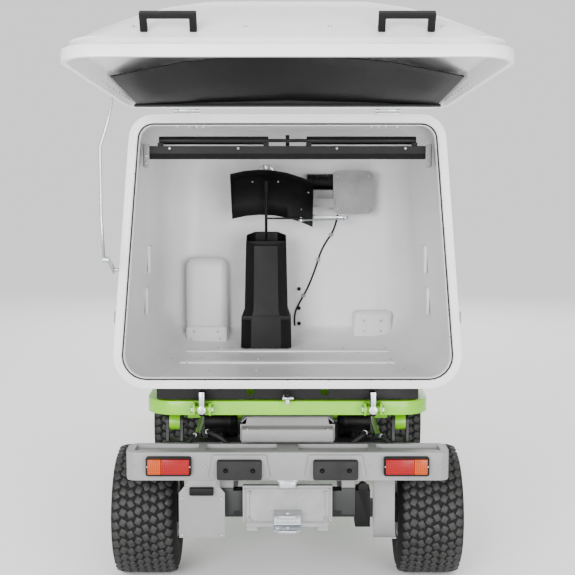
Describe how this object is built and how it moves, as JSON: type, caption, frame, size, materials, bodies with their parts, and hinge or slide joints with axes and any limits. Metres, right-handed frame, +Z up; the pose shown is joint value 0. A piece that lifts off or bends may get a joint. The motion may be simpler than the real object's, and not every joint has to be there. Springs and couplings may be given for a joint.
{
  "type": "ride on sweeper",
  "caption": "Ride-on sweeper with roller brush head, high-dump hopper with hinged lid, rear-wheel steering and folding roll bar.",
  "frame": {"origin": "middle of the machine's footprint on the ground", "axes": "+X to the machine's right, +Y forward, +Z up"},
  "size_m": [1.36, 4.3341, 2.1046],
  "materials": {
    "white_moulding": "smooth moulded gelcoat",
    "lime_paint": "satin powder coat",
    "lime_moulding": "moulded plastic",
    "black_paint": "satin powder coat",
    "dark_casting": "satin paint",
    "grey_casting": "satin paint",
    "grey_moulding": "moulded plastic",
    "zinc_steel": "zinc plated",
    "black_plastic": "grained moulded plastic",
    "rubber_black": "moulded rubber",
    "tyre_black": "turf tread rubber",
    "lens_red": "clear tinted lens",
    "lens_amber": "clear tinted lens",
    "engine_alloy": "cast alloy",
    "seat_vinyl": "grained vinyl",
    "brush_nylon": "nylon bristle",
    "screen_black": "perforated sheet"
  },
  "bodies": {
    "chassis": {"chassis_frame": "dark_casting", "rear_bumper": "grey_moulding", "rubber_buffers": "rubber_black", "tail_lamp_frames": "black_plastic", "tail_lens_red": "lens_red", "tail_lens_amber": "lens_amber", "number_plate_holder": "grey_moulding", "number_plate_lamp": "black_plastic", "hitch_box": "grey_casting", "hitch_plates": "zinc_steel", "engine_cover": "grey_moulding", "engine_block": "engine_alloy", "fuel_tank": "black_plastic", "wheel_guard": "grey_moulding", "floor_platform": "lime_moulding", "seat_base": "black_plastic", "roll_bar": "lime_paint", "steering_column": "black_plastic", "front_axle": "dark_casting", "rear_axle": "dark_casting"},
    "seat": {"seat_cushion": "seat_vinyl", "seat_back": "seat_vinyl"},
    "hoop": {"roll_hoop": "lime_paint"},
    "steering": {"steering_wheel": "black_plastic"},
    "pedal": {"drive_pedal": "black_plastic"},
    "steer_left": {"knuckle_left": "dark_casting"},
    "steer_right": {"knuckle_right": "dark_casting"},
    "tie": {"tie_rod": "zinc_steel"},
    "wheel_rl": {"rear_rim_left": "grey_casting", "rear_tyre_left": "tyre_black"},
    "wheel_rr": {"rear_rim_right": "grey_casting", "rear_tyre_right": "tyre_black"},
    "wheel_fl": {"front_rim_left": "grey_casting", "front_tyre_left": "tyre_black"},
    "wheel_fr": {"front_rim_right": "grey_casting", "front_tyre_right": "tyre_black"},
    "head": {"head_housing": "lime_paint"},
    "brush": {"roller_brush": "brush_nylon"},
    "arms": {"lift_arms": "lime_paint"},
    "links": {"lift_links": "lime_paint"},
    "cradle": {"cradle_loop": "lime_paint"},
    "hopper": {"hopper_shell": "white_moulding", "rim_seal": "rubber_black", "hopper_underframe": "black_paint", "top_beam": "black_paint", "gas_struts": "black_paint", "duct_column": "black_plastic", "gearmotor": "grey_casting", "motor_cable": "rubber_black", "hood_bracket": "zinc_steel", "hinge_leaves": "zinc_steel"},
    "hood": {"deflector_hood": "black_plastic"},
    "link": {"hood_link": "zinc_steel"},
    "lever": {"hood_lever": "zinc_steel"},
    "lid": {"lid_shell": "white_moulding", "lid_hinges": "zinc_steel", "lid_liner": "screen_black", "lid_handles": "black_plastic"},
    "stay": {"lid_rod": "zinc_steel"},
    "stay_lever": {"lid_lever": "zinc_steel"}
  },
  "joints": [
    {"name": "lift", "type": "hinge", "parent": "chassis", "child": "arms", "pos_m": [0, -0.96, 0.64], "axis": [1, 0, 0], "range_deg": [0, 95]},
    {"name": "link_lift", "type": "hinge", "parent": "chassis", "child": "links", "pos_m": [0, -0.87, 0.55], "axis": [1, 0, 0], "range_deg": [0, 95]},
    {"name": "cradle_level", "type": "hinge", "parent": "arms", "child": "cradle", "pos_m": [0, -0.1, 0.64], "axis": [1, 0, 0], "range_deg": [-95, 0]},
    {"name": "tip", "type": "hinge", "parent": "cradle", "child": "hopper", "pos_m": [0, -1.186, 0.734], "axis": [1, 0, 0], "range_deg": [0, 95]},
    {"name": "lid_open", "type": "hinge", "parent": "hopper", "child": "lid", "pos_m": [0, -1.183, 1.808], "axis": [1, 0, 0], "range_deg": [0, 95.5]},
    {"name": "stay_swing", "type": "hinge", "parent": "hopper", "child": "stay_lever", "pos_m": [-0.62, -1.165, 1.241], "axis": [1, 0, 0], "range_deg": [0, 95.5]},
    {"name": "stay_top", "type": "hinge", "parent": "lid", "child": "stay", "pos_m": [-0.6, -1.3015, 1.853], "axis": [1, 0, 0], "range_deg": [-95.5, 0]},
    {"name": "hood_turn", "type": "hinge", "parent": "hopper", "child": "hood", "pos_m": [-0.092, -0.31, 1.5], "axis": [0, 0, 1], "range_deg": [-12, 12]},
    {"name": "lever_turn", "type": "hinge", "parent": "hopper", "child": "lever", "pos_m": [0.105, -0.175, 1.39], "axis": [0, 0, 1], "range_deg": [-12, 12]},
    {"name": "link_turn", "type": "hinge", "parent": "hood", "child": "link", "pos_m": [0.058, -0.33, 1.38], "axis": [0, 0, 1], "range_deg": [-12, 12]},
    {"name": "steering_turn", "type": "hinge", "parent": "chassis", "child": "steering", "pos_m": [0, 0.8123, 1.0066], "axis": [0, -0.6062, 0.7953], "range_deg": [-180, 180]},
    {"name": "steer_left_turn", "type": "hinge", "parent": "chassis", "child": "steer_left", "pos_m": [-0.392, -0.8, 0.254], "axis": [0, 0, 1], "range_deg": [-25.01, 25.01]},
    {"name": "steer_right_turn", "type": "hinge", "parent": "chassis", "child": "steer_right", "pos_m": [0.392, -0.8, 0.254], "axis": [0, 0, 1], "range_deg": [-25.01, 25.01]},
    {"name": "tie_turn", "type": "hinge", "parent": "steer_left", "child": "tie", "pos_m": [-0.392, -0.66, 0.19], "axis": [0, 0, 1], "range_deg": [-25.01, 25.01]},
    {"name": "spin_rl", "type": "hinge", "parent": "steer_left", "child": "wheel_rl", "pos_m": [-0.552, -0.8, 0.254], "axis": [1, 0, 0], "continuous": true},
    {"name": "spin_rr", "type": "hinge", "parent": "steer_right", "child": "wheel_rr", "pos_m": [0.552, -0.8, 0.254], "axis": [1, 0, 0], "continuous": true},
    {"name": "spin_fl", "type": "hinge", "parent": "chassis", "child": "wheel_fl", "pos_m": [-0.535, 0.75, 0.305], "axis": [1, 0, 0], "continuous": true},
    {"name": "spin_fr", "type": "hinge", "parent": "chassis", "child": "wheel_fr", "pos_m": [0.535, 0.75, 0.305], "axis": [1, 0, 0], "continuous": true},
    {"name": "seat_slide", "type": "slide", "parent": "chassis", "child": "seat", "axis": [0, 1, 0], "range_m": [-0.05, 0.08]},
    {"name": "hoop_fold", "type": "hinge", "parent": "chassis", "child": "hoop", "pos_m": [0, 0.091, 1.24], "axis": [1, 0, 0], "range_deg": [-90, 0]},
    {"name": "pedal_press", "type": "hinge", "parent": "chassis", "child": "pedal", "pos_m": [0.238, 0.96, 0.475], "axis": [1, 0, 0], "range_deg": [-6, 6], "stiffness_Nm_per_rad": 30},
    {"name": "head_lift", "type": "hinge", "parent": "chassis", "child": "head", "pos_m": [0.27, 1.14, 0.38], "axis": [1, 0, 0], "range_deg": [0, 18]},
    {"name": "brush_spin", "type": "hinge", "parent": "head", "child": "brush", "pos_m": [0, 1.944, 0.198], "axis": [1, 0, 0], "continuous": true}
  ],
  "couplings": [
    {"joint": "link_lift", "follows": "lift", "ratio": 1},
    {"joint": "cradle_level", "follows": "lift", "ratio": -1},
    {"joint": "stay_swing", "follows": "lid_open", "ratio": 1},
    {"joint": "stay_top", "follows": "lid_open", "ratio": -1},
    {"joint": "lever_turn", "follows": "hood_turn", "ratio": 1},
    {"joint": "link_turn", "follows": "hood_turn", "ratio": -1},
    {"joint": "steer_left_turn", "follows": "steering_turn", "ratio": -0.13889},
    {"joint": "steer_right_turn", "follows": "steering_turn", "ratio": -0.13889},
    {"joint": "tie_turn", "follows": "steering_turn", "ratio": 0.13889}
  ]
}
